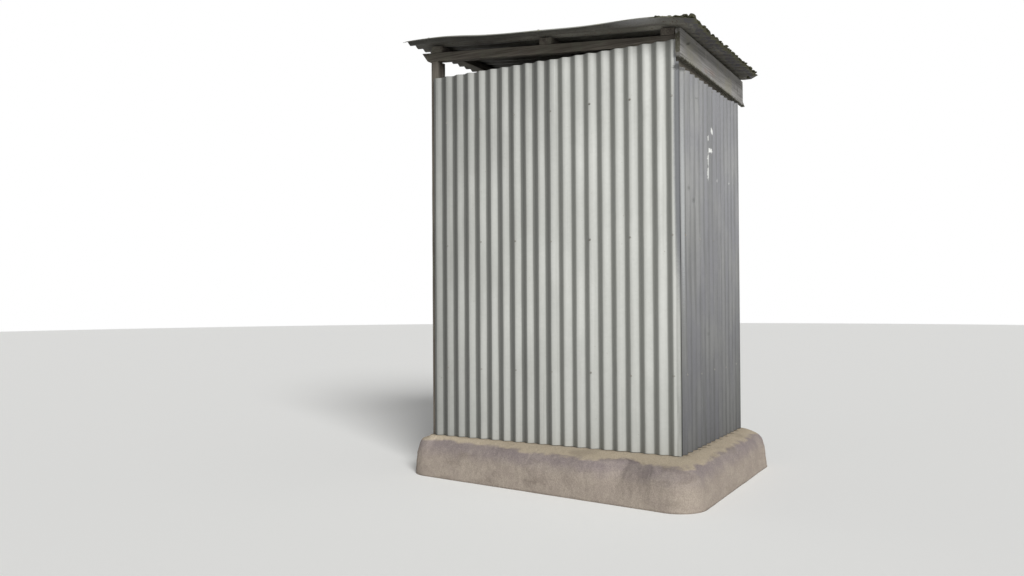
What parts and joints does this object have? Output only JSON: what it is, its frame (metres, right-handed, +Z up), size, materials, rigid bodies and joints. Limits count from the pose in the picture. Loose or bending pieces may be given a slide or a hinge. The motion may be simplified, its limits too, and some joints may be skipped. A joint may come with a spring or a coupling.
{
  "type": "corrugated iron outhouse",
  "caption": "Small freestanding outhouse of corrugated galvanised iron on a timber frame, with a lean-to iron roof, a rear fascia board and a rough concrete slab.",
  "frame": {"origin": "on the slab's flat underside, below the middle of the timber frame", "axes": "+Z up; -Y is the front with the door; the roof falls towards +Y, the back with the fascia board; the wide wall that the picture shows faces +X"},
  "size_m": [1.5038, 1.8165, 2.5548],
  "materials": {
    "concrete": "rough cast concrete, worn and stained",
    "wall_iron": "dull weathered galvanised iron",
    "roof_iron": "weathered galvanised iron with lichen and moss",
    "frame_timber": "old rough sawn timber, dark",
    "door_timber": "old rough sawn timber",
    "fascia_board": "silver-grey weathered board",
    "dark_iron": "dull dark iron with rust"
  },
  "bodies": {
    "root": {"slab": "concrete", "post_front_right": "frame_timber", "post_front_left": "frame_timber", "post_back_right": "frame_timber", "post_back_left": "frame_timber", "rail_right_bottom": "frame_timber", "rail_right_middle": "frame_timber", "rail_right_top": "frame_timber", "rail_left_bottom": "frame_timber", "rail_left_middle": "frame_timber", "rail_left_top": "frame_timber", "rail_back_bottom": "frame_timber", "rail_back_middle": "frame_timber", "rail_back_top": "frame_timber", "door_head": "frame_timber", "rafter_right": "frame_timber", "rafter_left": "frame_timber", "purlin_front": "frame_timber", "purlin_middle": "frame_timber", "purlin_back": "frame_timber", "side_sheet_right_front": "wall_iron", "side_sheet_right_back": "wall_iron", "side_sheet_left_front": "wall_iron", "side_sheet_left_back": "wall_iron", "back_sheet_right": "wall_iron", "back_sheet_left": "wall_iron", "roof_sheet_right": "roof_iron", "roof_sheet_left": "roof_iron", "fascia_back": "fascia_board", "door_stile_right": "door_timber", "door_stile_left": "door_timber", "door_rail_top": "door_timber", "door_rail_middle": "door_timber", "door_rail_bottom": "door_timber", "door_braces": "door_timber", "door_sheet": "wall_iron", "hinge_top": "dark_iron", "hinge_bottom": "dark_iron", "latch": "dark_iron"}
  },
  "joints": []
}
